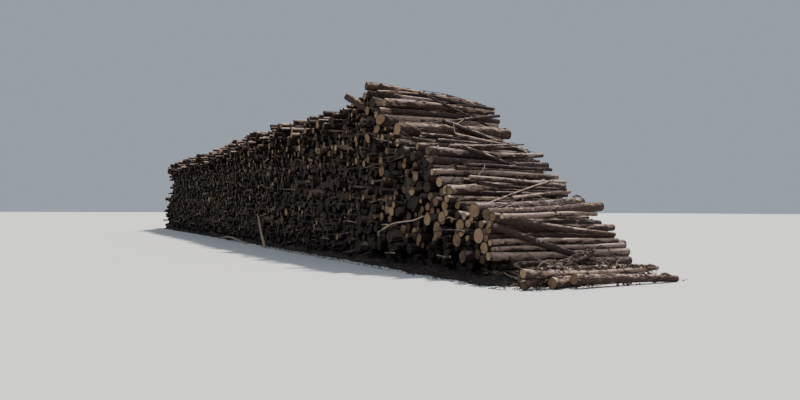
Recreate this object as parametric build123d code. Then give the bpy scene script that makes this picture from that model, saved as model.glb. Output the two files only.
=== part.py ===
"""A long stack of round softwood logs, laid side by side across its length, with its loose toe logs.

X runs along the stack, from its steep far end to its sloping near end. Y runs along the logs, with the
face that shows their ends on the -Y side. Z is up. The origin is on the ground, in the middle of the
stack's footprint. Distances along the stack are counted from the foot of the near end until the whole
stack is moved to its origin, so they are negative towards the far end.

The logs at the near end, on the crest and down the far end are separate prisms. Each one is inscribed in
the round of its log, and has a corner wherever it meets a neighbour. The logs that these cover are one
plain core.
"""
from build123d import *
import os
from bisect import bisect_right
from math import atan2, cos, degrees, floor, hypot, pi, radians, sin, sqrt
from random import Random
import numpy as np

# The stack
log_length = 3700.0
stack_length = 41900.0
crest_height = 4750.0
crest_run = 11500.0
far_run = 7500.0
far_face_height = 1200.0

# The near end, as distances back from its foot and drops below the crest
near_end = [
    (0.0, 4250.0),
    (40.0, 3800.0),
    (240.0, 3560.0),
    (1150.0, 3330.0),
    (1500.0, 2900.0),
    (2150.0, 2500.0),
    (2250.0, 2080.0),
    (3000.0, 1870.0),
    (3700.0, 1500.0),
    (4250.0, 1150.0),
    (4450.0, 690.0),
    (5250.0, 80.0),
    (5900.0, 40.0),
    (6050.0, 210.0),
    (7300.0, 190.0),
]

# The core that stands for the covered logs
core_start = 5300.0
core_skin = 270.0
core_inset = 60.0
core_far_steps = 6
outline_far_steps = 10

# The logs
mean_radius = 102.0
radius_spread = 30.0
least_radius = 58.0
greatest_radius = 165.0
clearance = 0.35
end_scatter = 90.0
near_scatter = 170.0
foot_height = 420.0
foot_recess = 520.0
friction = 0.34
seed = 11

# The ends of covered logs that stand furthest out of the faces: one in each cell of a loose grid
standing_spacing = 1480.0
standing_sides = 5
least_standing = 120.0
most_standing = 330.0

# How the logs are dealt out to nodes
near_nodes = 7
crest_nodes = 5
far_nodes = 4

# Facets, in degrees round a log
widest_facet = 86.0
least_facet = 4.0
free_facet = 38.0

# The packing: the share of a log's round that stays under the outline and the points of it that are tried,
# the least angle between two supports, how many sizes are tried in a gap, and the width of the grid
rim_share = 0.86
rim_points = 8
least_turn = 0.05
sizes_tried = 4
cell = 2.5 * greatest_radius

# The settling of a free log: stations along it, steps, how far off supports are looked for, the least upward
# push of a support, the least span between two supports as a share of the length, and the error that is left
stations = 81
settling_steps = 30
settling_reach = 3 * greatest_radius
least_lift = 0.002
least_span = 0.02
near_enough = 1e-3

# The logs that lie askew on the near end, from its foot to its peak: how far back from the foot their front
# and back ends are, their radii there, how far the front end stands behind the front face, and the length
askew_logs = [
    ((20.0, -200.0), (78.0, 66.0), -60.0, 3700.0),
    ((-60.0, 60.0), (92.0, 48.0), -40.0, 3500.0),
    ((-330.0, 640.0), (56.0, 48.0), -20.0, 3650.0),
    ((150.0, 640.0), (124.0, 108.0), -30.0, 3700.0),
    ((540.0, 1160.0), (158.0, 120.0), -50.0, 3650.0),
    ((820.0, 1500.0), (56.0, 46.0), 1150.0, 2450.0),
    ((1380.0, 1760.0), (97.0, 60.0), -80.0, 3700.0),
    ((2150.0, 2120.0), (76.0, 62.0), -60.0, 3750.0),
    ((2330.0, 2640.0), (104.0, 58.0), -60.0, 3720.0),
    ((2860.0, 2500.0), (82.0, 60.0), -30.0, 2300.0),
    ((3730.0, 3960.0), (165.0, 140.0), -90.0, 3680.0),
    ((4480.0, 4700.0), (110.0, 84.0), -70.0, 3700.0),
    ((5050.0, 4720.0), (70.0, 48.0), 500.0, 3200.0),
    ((5460.0, 5260.0), (118.0, 84.0), -120.0, 3690.0),
]

# The toe logs, which have rolled off the near end, in the same terms
toe_under = ((-1240.0, -230.0), (75.0, 62.0), -270.0, 2900.0)
toe_middle = ((-1350.0, -855.0), (105.0, 84.0), 300.0, 2500.0)
toe_outer = ((-1460.0, -1590.0), (103.0, 66.0), 720.0, 2650.0)
toe_upper = ((-1170.0, -1050.0), (89.0, 50.0), -220.0, 3700.0)

# The pole that leans on the front face
pole_radii = (48.0, 36.0)
pole_length = 3600.0
pole_foot = (-12900.0, -680.0)
pole_top_height = 1200.0


def outline_height(x):
    """The height of the outline at a distance x along the stack."""
    i = min(max(bisect_right(outline_places, x), 1), len(outline) - 1)
    (x0, z0), (x1, z1) = outline[i - 1], outline[i]
    return z0 + (z1 - z0) * (x - x0) / (x1 - x0)


def far_curve(inset, angle):
    """A point of the rounded far end, a quarter of an ellipse, moved inwards by the inset."""
    across = (far_run - inset) * sin(angle)
    height = far_face_height + (crest_height - far_face_height - inset) * cos(angle)
    return (-(stack_length - far_run) - across, height)


outline = [far_curve(0.0, pi / 2 * (1 - i / outline_far_steps)) for i in range(outline_far_steps + 1)]
outline.append((-crest_run, crest_height))
outline += [(-back, crest_height - drop) for back, drop in reversed(near_end)]
outline_places = [place for place, _ in outline]

core_far = [far_curve(core_skin, pi / 2 * i / core_far_steps) for i in range(core_far_steps + 1)]
core_top = crest_height - core_skin
core_outline = [(-core_start, 0.0), (-core_start, core_top)] + core_far + [(core_far[-1][0], 0.0)]


def walls():
    """The ground and the sides of the core, each a start, a direction, a length and an outward normal."""
    found = []
    ground = -clearance
    lines = [((-stack_length - log_length, ground), (log_length, ground))]
    lines += [(b, a) for a, b in zip(core_outline, core_outline[1:])]
    for (x0, z0), (x1, z1) in lines:
        length = hypot(x1 - x0, z1 - z0)
        along = ((x1 - x0) / length, (z1 - z0) / length)
        found.append(((x0, z0), along, length, (-along[1], along[0])))
    return found


def inside_outline(x, z, r):
    """Whether the round of a log stays under the outline of the stack."""
    for step in range(rim_points):
        angle = 2 * pi / rim_points * step
        px, pz = x + rim_share * r * cos(angle), z + rim_share * r * sin(angle)
        if px > 0.0 or px < -stack_length or pz > outline_height(px):
            return False
    return True


def steady(x, z, first, second):
    """Whether a log rests unheld between two touching points, with the friction of rough bark."""
    ax, az = first[0] - x, first[1] - z
    bx, bz = second[0] - x, second[1] - z
    na, nb = hypot(ax, az), hypot(bx, bz)
    ax, az, bx, bz = ax / na, az / na, bx / nb, bz / nb
    turn = ax * bz - bx * az
    if abs(turn) < least_turn:
        return False
    return bx / turn > -friction and -ax / turn > -friction


def circle_meets(x0, z0, ra, x1, z1, rb):
    """The two points at a distance ra from one centre and rb from another."""
    d = hypot(x1 - x0, z1 - z0)
    if d >= ra + rb or d <= abs(ra - rb):
        return []
    a = (ra * ra - rb * rb + d * d) / (2 * d)
    h = sqrt(max(ra * ra - a * a, 0.0))
    ux, uz = (x1 - x0) / d, (z1 - z0) / d
    return [(x0 + a * ux - h * uz, z0 + a * uz + h * ux), (x0 + a * ux + h * uz, z0 + a * uz - h * ux)]


def line_meets(wall, r, x, z, reach):
    """The places of a log of radius r on a wall, at the given distance from a centre."""
    (px, pz), (ux, uz), length, (nx, nz) = wall
    sx, sz = px + nx * r, pz + nz * r
    along = (x - sx) * ux + (z - sz) * uz
    off = (x - sx) * nx + (z - sz) * nz
    if abs(off) >= reach:
        return []
    half = sqrt(reach * reach - off * off)
    return [(sx + ux * t, sz + uz * t) for t in (along - half, along + half) if 0.0 <= t <= length]


def foot_on(wall, x, z):
    """The point of a wall, or the corner of the core, that is nearest to a centre."""
    if len(wall) == 2:
        return wall
    (px, pz), (ux, uz), length, _ = wall
    t = min(max((x - px) * ux + (z - pz) * uz, 0.0), length)
    return (px + ux * t, pz + uz * t)


class Pile:
    """The logs laid so far, with a coarse grid to find neighbours, and the notches that are still open."""

    def __init__(self):
        self.sides = walls() + core_outline[1:-1]
        self.logs = []
        self.touching = []
        self.cells = {}
        self.notches = []

    def near(self, x, z, reach):
        """The logs whose round comes within the reach of a point."""
        span = reach + greatest_radius
        columns = range(int((x - span) // cell), int((x + span) // cell) + 1)
        rows = range(int((z - span) // cell), int((z + span) // cell) + 1)
        found = (i for c in columns for q in rows for i in self.cells.get((c, q), ()))
        return [i for i in found if hypot(self.logs[i][0] - x, self.logs[i][1] - z) < reach + self.logs[i][2]]

    def free(self, x, z, r):
        """Whether a log of radius r has room at a place."""
        reach = r + 0.9 * clearance
        feet = [foot_on(wall, x, z) for wall in self.sides]
        if any(hypot(px - x, pz - z) < reach for px, pz in feet):
            return False
        return not self.near(x, z, reach)

    def places(self, notch, r):
        """The one or two places of a log of radius r against both sides of a notch."""
        first, second = notch
        x, z, ri = self.logs[second]
        if isinstance(first, int):
            xj, zj, rj = self.logs[first]
            return circle_meets(x, z, r + ri + clearance, xj, zj, r + rj + clearance)
        if len(first) == 2:
            return circle_meets(x, z, r + ri + clearance, *first, r + clearance)
        return line_meets(first, r + clearance, x, z, r + ri + clearance)

    def open(self, notch):
        """Whether the least log still fits into a notch."""
        return any(self.free(x, z, least_radius) for x, z in self.places(notch, least_radius))

    def add(self, x, z, r, contact):
        """Lay a log, open the notches that it makes and drop those that it fills."""
        k = len(self.logs)
        neighbours = self.near(x, z, r + 2 * greatest_radius)
        self.logs.append((x, z, r))
        self.touching.append(contact)
        self.cells.setdefault((int(x // cell), int(z // cell)), []).append(k)
        self.notches += [(i, k) for i in neighbours]
        for wall in self.sides:
            foot = foot_on(wall, x, z)
            if hypot(foot[0] - x, foot[1] - z) < r + 2 * greatest_radius:
                self.notches.append((wall, k))
        touched = set(neighbours) | {k}
        self.notches = [n for n in self.notches if n[1] not in touched or self.open(n)]

    def lowest(self, r):
        """The lowest steady free place under the outline for a log of radius r, and what it rests on."""
        found = []
        for notch in self.notches:
            found += [(z, x, notch) for x, z in self.places(notch, r)]
        found.sort(key=lambda item: item[:2])
        for z, x, (first, second) in found:
            a = self.logs[second][:2]
            b = self.logs[first][:2] if isinstance(first, int) else foot_on(first, x, z)
            if steady(x, z, a, b) and self.free(x, z, r) and inside_outline(x, z, r):
                return x, z, first, second
        return None


def pile_logs():
    """Drop logs of mixed thickness into the outline, each at the lowest steady place that is free."""
    draw = Random(seed)
    pile = Pile()
    for x, side in ((-core_start, 1), (core_far[-1][0], -1)):
        rest = x + side * (mean_radius + clearance)
        pile.add(rest, mean_radius, mean_radius, [-pi / 2, pi / 2 + side * pi / 2])
    misses = 0
    while misses < sizes_tried:
        r = min(max(draw.gauss(mean_radius, radius_spread), least_radius), greatest_radius)
        if misses:
            r = mean_radius + (least_radius - mean_radius) * misses / (sizes_tried - 1)
        place = pile.lowest(r)
        if place is None:
            misses += 1
            continue
        misses = 0
        x, z, first, second = place
        contact = []
        for other in (first, second):
            if isinstance(other, int):
                px, pz, _ = pile.logs[other]
                pile.touching[other].append(atan2(z - pz, x - px))
            else:
                px, pz = foot_on(other, x, z)
            contact.append(atan2(pz - z, px - x))
        pile.add(x, z, r, contact)
    return pile.logs, pile.touching


def corners(contact, widest):
    """The directions of a prism's corners: its contacts, and more between them where they lie far apart."""
    angles = []
    for angle in sorted(a % (2 * pi) for a in contact):
        if not angles or angle - angles[-1] > radians(least_facet):
            angles.append(angle)
    full = []
    for i, angle in enumerate(angles):
        gap = (angles[(i + 1) % len(angles)] - angle) % (2 * pi) or 2 * pi
        parts = floor(degrees(gap) / widest) + 1
        full += [angle + gap * k / parts for k in range(parts)]
    return full


def log_prism(x, z, r, contact, front, back):
    """A straight log along Y: a prism inscribed in its round."""
    points = [(x + r * cos(a), front, z + r * sin(a)) for a in corners(contact, widest_facet)]
    return Solid.extrude(Face(Wire.make_polygon(points, close=True)), Vector(0, back - front, 0))


def free_log(start, end, radii, touches):
    """A tapered log between the middles of its ends: flat facets that meet in corners facing its touches."""
    start, end = Vector(*start), Vector(*end)
    axis = (end - start).normalized()
    down = Vector(0, 0, -1)
    across = (down - axis * down.dot(axis)).normalized()
    side = axis.cross(across)
    angles = corners([atan2(t.dot(side), t.dot(across)) for t in touches], free_facet)
    rims = []
    for middle, r in ((start, radii[0]), (end, radii[1])):
        rims.append([middle + across * (r * cos(a)) + side * (r * sin(a)) for a in angles])
    front, back = rims
    faces = [Face(Wire.make_polygon(rim, close=True)) for rim in rims]
    for i in range(len(angles)):
        faces.append(Face(Wire.make_polygon([front[i - 1], front[i], back[i], back[i - 1]], close=True)))
    return Solid(Shell(faces))


class FreeLog:
    """A tapered log that lies where it comes to rest on what is below it."""

    def __init__(self, backs, radii, front_y, length):
        reach = sqrt(length**2 - (backs[1] - backs[0]) ** 2)
        self.ends = np.array([[-backs[0], front_y, 0.0], [-backs[1], front_y + reach, 0.0]])
        self.radii = np.array(radii)
        self.touches = []

    def gaps(self, starts, ends, radii):
        """The gap to each of some other logs, its place along this one, and its directions from both.

        Each other log is met at the nearest point of this one, and at this one's two ends.
        """
        a0, d1 = self.ends[0], self.ends[1] - self.ends[0]
        d2, r = ends - starts, self.ends[0] - starts
        a, e, f = d1 @ d1, (d2 * d2).sum(1), (d2 * r).sum(1)
        c, b = r @ d1, d2 @ d1
        s = np.clip((b * f - c * e) / np.maximum(a * e - b * b, near_enough), 0.0, 1.0)
        t = np.clip((b * s + f) / e, 0.0, 1.0)
        nearest = np.clip((b * t - c) / a, 0.0, 1.0)
        axis = d1 / sqrt(a)
        found = []
        for s in (nearest, np.zeros(len(starts)), np.ones(len(starts))):
            p = a0 + s[:, None] * d1
            t = np.clip(((p - starts) * d2).sum(1) / e, 0.0, 1.0)
            out = starts + t[:, None] * d2 - p
            out -= (out @ axis)[:, None] * axis
            out /= np.linalg.norm(out, axis=1)[:, None]
            rim = p + out * (self.radii[0] + (self.radii[1] - self.radii[0]) * s)[:, None]
            t = np.clip(((rim - starts) * d2).sum(1) / e, 0.0, 1.0)
            facing = rim - starts - t[:, None] * d2
            span = np.linalg.norm(facing, axis=1)
            gap = span - radii[:, 0] - (radii[:, 1] - radii[:, 0]) * t
            found.append((gap, s, out, facing / span[:, None]))
        return [np.concatenate(column) for column in zip(*found)]

    def balance(self):
        """How far along the log its middle of mass lies, as a share of its length."""
        r0, r1 = self.radii
        return (r0 * r0 + 2 * r0 * r1 + 3 * r1 * r1) / (4 * (r0 * r0 + r0 * r1 + r1 * r1))

    def rest_over(self, starts, ends, radii):
        """Set both ends on the lowest line that clears the tops of the logs below and the ground."""
        share = np.linspace(0.0, 1.0, stations)
        x, y = self.ends[0, :2, None] + (self.ends[1, :2] - self.ends[0, :2])[:, None] * share
        r = self.radii[0] + (self.radii[1] - self.radii[0]) * share
        along = (y[:, None] - starts[:, 1]) / (ends[:, 1] - starts[:, 1])
        off = x[:, None] - starts[:, 0] - (ends[:, 0] - starts[:, 0]) * along
        reach = r[:, None] + radii[:, 0] + (radii[:, 1] - radii[:, 0]) * along + clearance
        tops = starts[:, 2] + (ends[:, 2] - starts[:, 2]) * along
        tops += np.sqrt(np.maximum(reach**2 - off**2, 0.0))
        tops[(abs(off) >= reach) | (along < 0.0) | (along > 1.0)] = 0.0
        height = np.maximum(tops.max(axis=1), r)
        middle = self.balance()
        i, j = np.meshgrid(np.flatnonzero(share < middle), np.flatnonzero(share >= middle))
        slope = (height[j] - height[i]) / (share[j] - share[i])
        best = np.argmax(height[i] + slope * (middle - share[i]))
        slope, i = slope.flat[best], i.flat[best]
        self.ends[:, 2] = height[i] + slope * (np.array([0.0, 1.0]) - share[i])

    def settle(self, starts, ends, radii):
        """Lay the log down and return the logs that carry it, each with its direction to this one."""
        self.rest_over(starts, ends, radii)
        middle = self.balance()
        for _ in range(settling_steps):
            gap, s, out, facing = self.gaps(starts, ends, radii)
            below = (out[:, 2] < -least_lift) & (gap < settling_reach)
            lift = -out[below, 2]
            share = np.concatenate([s[below], [0.0, 1.0]])
            push = np.concatenate([lift, [1.0, 1.0]])
            room = np.concatenate([gap[below] - clearance, self.ends[:, 2] - self.radii])
            rows = np.column_stack([push * (1 - share), push * share])
            best = None
            for i in np.flatnonzero(share < middle):
                for j in np.flatnonzero(share >= middle):
                    if share[j] - share[i] < least_span:
                        continue
                    move = np.linalg.solve(rows[[i, j]], -room[[i, j]])
                    sink = move @ (1 - middle, middle)
                    if (rows @ move + room).min() > -near_enough and (best is None or sink < best[0]):
                        best = (sink, move, i, j)
            self.ends[:, 2] += np.clip(best[1], -least_radius, least_radius)
            if abs(best[1]).max() < near_enough:
                break
        index = np.flatnonzero(below)
        carried = [int(index[k]) if k < len(index) else -1 for k in best[2:]]
        self.touches += [(0.0, 0.0, -1.0) if k < 0 else tuple(out[k]) for k in carried]
        return [(k % len(starts), tuple(facing[k])) for k in carried if k >= 0]

    def solid(self):
        return free_log(self.ends[0], self.ends[1], self.radii, [Vector(*t) for t in self.touches])


def lay_free_logs(logs, touching):
    """Lay the askew logs and the toe logs in turn, each on the logs of the pile and those laid before it."""
    starts = [(x, -near_scatter, z) for x, z, _ in logs]
    ends = [(x, log_length + end_scatter, z) for x, z, _ in logs]
    radii = [(r, r) for _, _, r in logs]
    named = {f"askew_log_{k + 1}": values for k, values in enumerate(askew_logs)}
    named |= {"toe_log_under": toe_under, "toe_log_middle": toe_middle}
    named |= {"toe_log_outer": toe_outer, "toe_log_upper": toe_upper}
    laid = {}
    for name, values in named.items():
        log = FreeLog(*values)
        for k, out in log.settle(np.array(starts), np.array(ends), np.array(radii)):
            if k < len(logs):
                touching[k].append(atan2(out[2], out[0]))
            else:
                list(laid.values())[k - len(logs)].touches.append(out)
        starts.append(tuple(log.ends[0]))
        ends.append(tuple(log.ends[1]))
        radii.append(tuple(log.radii))
        laid[name] = log
    return laid


def leaning_pole(face_y):
    """A thin pole with its foot on the ground and its top against the front face of the stack."""
    foot = Vector(pole_foot[0], pole_foot[1] - log_length / 2, 0)
    across, rise = face_y - foot.Y, pole_top_height
    for _ in range(settling_steps):
        run = sqrt(pole_length**2 - across**2 - rise**2)
        axis = Vector(-run, across, rise) / pole_length
        low = pole_radii[0] * sqrt(1 - axis.Z**2)
        across = face_y - clearance - pole_radii[1] * sqrt(1 - axis.Y**2) - foot.Y
        rise = pole_top_height - low
    start = foot + Vector(0, 0, low)
    end = start + Vector(-run, across, rise)
    return free_log(tuple(start), tuple(end), pole_radii, [Vector(0, 0, -1), Vector(0, 1, 0)])


def near_pole(x, z, reach):
    """Whether a place on the front face is within reach of the leaning pole."""
    along = np.linspace(0.0, 1.0, stations)
    run = sqrt(pole_length**2 - pole_foot[1] ** 2 - pole_top_height**2)
    return np.hypot(pole_foot[0] - run * along - x, pole_top_height * along - z).min() < reach


def standing_ends(face, outward, draw):
    """Prisms on a face of the core, for the ends of covered logs that stand out of it."""
    solids = []
    for column in range(int((stack_length - core_start) / standing_spacing)):
        for row in range(int(core_top / standing_spacing)):
            x = -core_start - (column + draw.uniform(0.2, 0.8)) * standing_spacing
            z = (row + draw.uniform(0.2, 0.8)) * standing_spacing
            r = min(max(draw.gauss(mean_radius, radius_spread), least_radius), greatest_radius)
            reach = core_inset + draw.uniform(least_standing, most_standing)
            turn = draw.uniform(0.0, 2 * pi)
            inside = x - r > core_outline[-1][0] and z + r < min(outline_height(x - r) - core_skin, core_top)
            if not inside or near_pole(x, z, r + greatest_radius):
                continue
            rim = [turn + 2 * pi * k / standing_sides for k in range(standing_sides)]
            points = [(x + r * cos(a), face + outward * clearance, z + r * sin(a)) for a in rim]
            end_face = Face(Wire.make_polygon(points, close=True))
            solids.append(Solid.extrude(end_face, Vector(0, outward * reach, 0)))
    return Compound(children=solids)


def shares(name, members, count, order):
    """Some logs in a given order, dealt out in so many named shares of the same number."""
    members = sorted(members, key=order)
    edges = [round(len(members) * k / count) for k in range(count + 1)]
    return {f"{name}_{k + 1}": members[edges[k] : edges[k + 1]] for k in range(count)}


def build():
    draw = Random(seed + 1)
    front, back = -log_length / 2, log_length / 2
    logs, touching = pile_logs()

    laid = lay_free_logs(logs, touching)
    to_face = Location((0, front, 0))
    nodes = {name: log.solid().moved(to_face) for name, log in laid.items()}

    everyone = range(len(logs))
    near = [k for k in everyone if logs[k][0] > -core_start]
    far = [k for k in everyone if logs[k][0] < far_run - stack_length]
    crest = [k for k in everyone if far_run - stack_length <= logs[k][0] <= -core_start]
    grouped = shares("near_end_logs", near, near_nodes, lambda k: logs[k][1])
    grouped |= shares("crest_logs", crest, crest_nodes, lambda k: -logs[k][0])
    grouped |= shares("far_end_logs", far, far_nodes, lambda k: logs[k][1])
    for name, members in grouped.items():
        solids = []
        for k in members:
            scatter = near_scatter if name.startswith("near") else end_scatter
            y0 = front + draw.uniform(-scatter, scatter)
            y1 = back + draw.uniform(-scatter, end_scatter)
            if name.startswith("near") and logs[k][1] < foot_height:
                y0 += draw.uniform(0.4, 1.0) * foot_recess
            solids.append(log_prism(*logs[k], touching[k], y0, y1))
        nodes[name] = Compound(children=solids)

    core_points = [(x, front + core_inset, z) for x, z in core_outline]
    core_face = Face(Wire.make_polygon(core_points, close=True))
    nodes["covered_logs_core"] = Solid.extrude(core_face, Vector(0, log_length - 2 * core_inset, 0))
    nodes["front_standing_ends"] = standing_ends(front + core_inset, -1, draw)
    nodes["back_standing_ends"] = standing_ends(back - core_inset, 1, draw)
    nodes["leaning_pole"] = leaning_pole(front + core_inset)
    return nodes, len(logs)


nodes, count = build()
boxes = [shape.bounding_box() for shape in nodes.values()]
low = [min(getattr(box.min, axis) for box in boxes) for axis in "XYZ"]
high = [max(getattr(box.max, axis) for box in boxes) for axis in "XYZ"]
to_origin = Location((-(low[0] + high[0]) / 2, -(low[1] + high[1]) / 2, -low[2]))

os.makedirs("parts", exist_ok=True)
for name, shape in nodes.items():
    shape = shape.moved(to_origin)
    shape.label = name
    export_step(shape, f"parts/{name}.step")
print(count, "separate logs,", len(nodes), "nodes, moved by", to_origin.position)
print("size", [round(b - a) for a, b in zip(low, high)])
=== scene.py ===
"""The looks of the stack of logs: bark, cut ends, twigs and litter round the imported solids, in metres."""
from heapq import heappop, heappush
from math import cos, hypot, pi, radians, sin, sqrt

import bpy
import numpy as np
from mathutils import Matrix, Vector


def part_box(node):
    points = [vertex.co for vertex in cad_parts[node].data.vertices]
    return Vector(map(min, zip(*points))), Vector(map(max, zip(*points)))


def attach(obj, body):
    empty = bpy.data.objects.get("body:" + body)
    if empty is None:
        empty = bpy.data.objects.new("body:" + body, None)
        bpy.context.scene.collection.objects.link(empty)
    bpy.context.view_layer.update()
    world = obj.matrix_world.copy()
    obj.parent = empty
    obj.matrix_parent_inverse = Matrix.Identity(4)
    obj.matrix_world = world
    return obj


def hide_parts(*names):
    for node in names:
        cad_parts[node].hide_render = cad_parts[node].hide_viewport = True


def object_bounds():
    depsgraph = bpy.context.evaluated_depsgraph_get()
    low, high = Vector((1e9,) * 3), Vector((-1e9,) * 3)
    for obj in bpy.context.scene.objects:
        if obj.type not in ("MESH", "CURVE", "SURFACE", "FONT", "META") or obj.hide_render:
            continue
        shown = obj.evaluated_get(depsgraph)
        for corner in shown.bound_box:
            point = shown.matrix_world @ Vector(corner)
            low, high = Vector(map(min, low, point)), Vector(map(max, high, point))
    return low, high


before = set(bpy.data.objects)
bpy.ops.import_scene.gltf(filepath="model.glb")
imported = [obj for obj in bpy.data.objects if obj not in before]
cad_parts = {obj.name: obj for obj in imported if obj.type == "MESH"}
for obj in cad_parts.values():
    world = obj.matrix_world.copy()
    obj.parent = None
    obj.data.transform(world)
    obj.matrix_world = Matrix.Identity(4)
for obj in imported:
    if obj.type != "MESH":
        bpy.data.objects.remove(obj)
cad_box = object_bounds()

seed = 20
inset = 0.001  # how far inside the part's box everything stays
box_low, box_high = np.array(cad_box[0]) + inset, np.array(cad_box[1]) - inset

# Where the stack lies, read from the core, which ends short of the foot of the near end and of both faces
foot_past_core, face_past_core = 5.3, 0.06
core_low, core_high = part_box("covered_logs_core")
near_foot = core_high[0] + foot_past_core
front_face = core_low[1] - face_past_core
back_face = core_high[1] + face_past_core
core_top = core_high[2]
far_run, far_face = 7.23, 1.2  # length of the curve down the far end, and height of the upright face below it

# Covered logs: the gap between them, and their radii
clearance = 0.002
least_covered, mean_covered, covered_spread, most_covered = 0.045, 0.098, 0.028, 0.17

# How far the ends of logs are shifted against the solids (place_logs says where)
skew = -0.25  # back ends of the upper logs of the near end, along the stack
low_turn = 0.24  # back ends of its lowest logs, along the stack
peak_droop = 0.14  # back ends of the logs at the peak, down
crest_sag, peak_sag = 0.032, 0.024  # front ends along the crest and next to the peak, down, as shares of height
stand_out = 0.62  # single front ends at the crest and the far end, outwards
far_recess = 0.60  # front ends at the far end, inwards
slack = 0.99  # radii against the solids'

# Log shape
full_length, full_radius = 3.7, 0.1  # of a log whose bow and broken edges have their full size
oval = 0.035  # as a share of the radius
knot_length, knot_width, knot_height = 0.045, 0.45, 0.14  # metres, radians, share of the radius
edge_break, cap_break = 0.006, 0.003  # how far the rim and the inner ring of an end are broken
inner_share = 0.6  # the inner ring's radius

# Painted shade on the front face, patches where the log ends are drawn duller: most shade, then middle and half
# width along the stack and in height
painted_shade_places = [(0.42, -8.6, 1.9, 1.85, 0.55), (0.30, -7.5, 3.4, 0.55, 0.5)]
painted_shade_band, painted_shade_band_width = 2.55, 0.16  # height of a band of painted shade, where the logs are drawn with more dark bark


def mesh_arrays(node):
    """The corners of a node's mesh, welded to tenths of a millimetre, and its triangles."""
    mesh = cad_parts[node].data
    mesh.calc_loop_triangles()
    co = np.empty(len(mesh.vertices) * 3)
    mesh.vertices.foreach_get("co", co)
    tri = np.empty(len(mesh.loop_triangles) * 3, dtype=np.int64)
    mesh.loop_triangles.foreach_get("vertices", tri)
    points, weld = np.unique(np.round(co.reshape(-1, 3), 4), axis=0, return_inverse=True)
    return points, weld.reshape(-1)[tri].reshape(-1, 3)


def circle(flat):
    """The middle and radius of the circle through some points: least squares of x*x + y*y = 2ax + 2by + c."""
    system = np.column_stack([2 * flat, np.ones(len(flat))])
    a, b, c = np.linalg.lstsq(system, (flat**2).sum(axis=1), rcond=None)[0]
    return a, b, sqrt(max(c + a * a + b * b, 1e-6))


def free_log(node):
    """The two end middles and radii of a node that is one tapered log, its front end first."""
    points, _ = mesh_arrays(node)
    middle = points.mean(axis=0)
    u, side, up = np.linalg.svd(points - middle)[2]
    if u[1] < 0:
        u = -u
    along = (points - middle) @ u
    ends = []
    for part in (along < 0, along >= 0):
        off = points[part] - middle
        a, b, r = circle(np.column_stack([off @ side, off @ up]))
        ends.append((middle + u * along[part].mean() + side * a + up * b, r))
    return (*ends[0], *ends[1])


def island_logs(node):
    """The logs of a node: each connected island of its mesh is a prism along Y with its corners on a circle.

    Corners are welded, labels spread over the triangles until each island has one, and the circle's centre
    and radius are the least-squares answer of x*x + z*z = 2ax + 2bz + c.
    """
    points, tri = mesh_arrays(node)
    label = np.arange(len(points))
    while True:
        low = label[tri].min(axis=1)
        new = label.copy()
        for k in range(3):
            np.minimum.at(new, tri[:, k], low)
        if np.array_equal(new, label):
            break
        label = new
    found = []
    for name in np.unique(label):
        p = points[label == name]
        flat = np.unique(np.round(p[:, (0, 2)], 4), axis=0)
        found.append((*circle(flat), p[:, 1].min(), p[:, 1].max()))
    return np.array(found)


# The logs that lie between the separate ones, laid by dropping them against the pile from its near end

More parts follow.
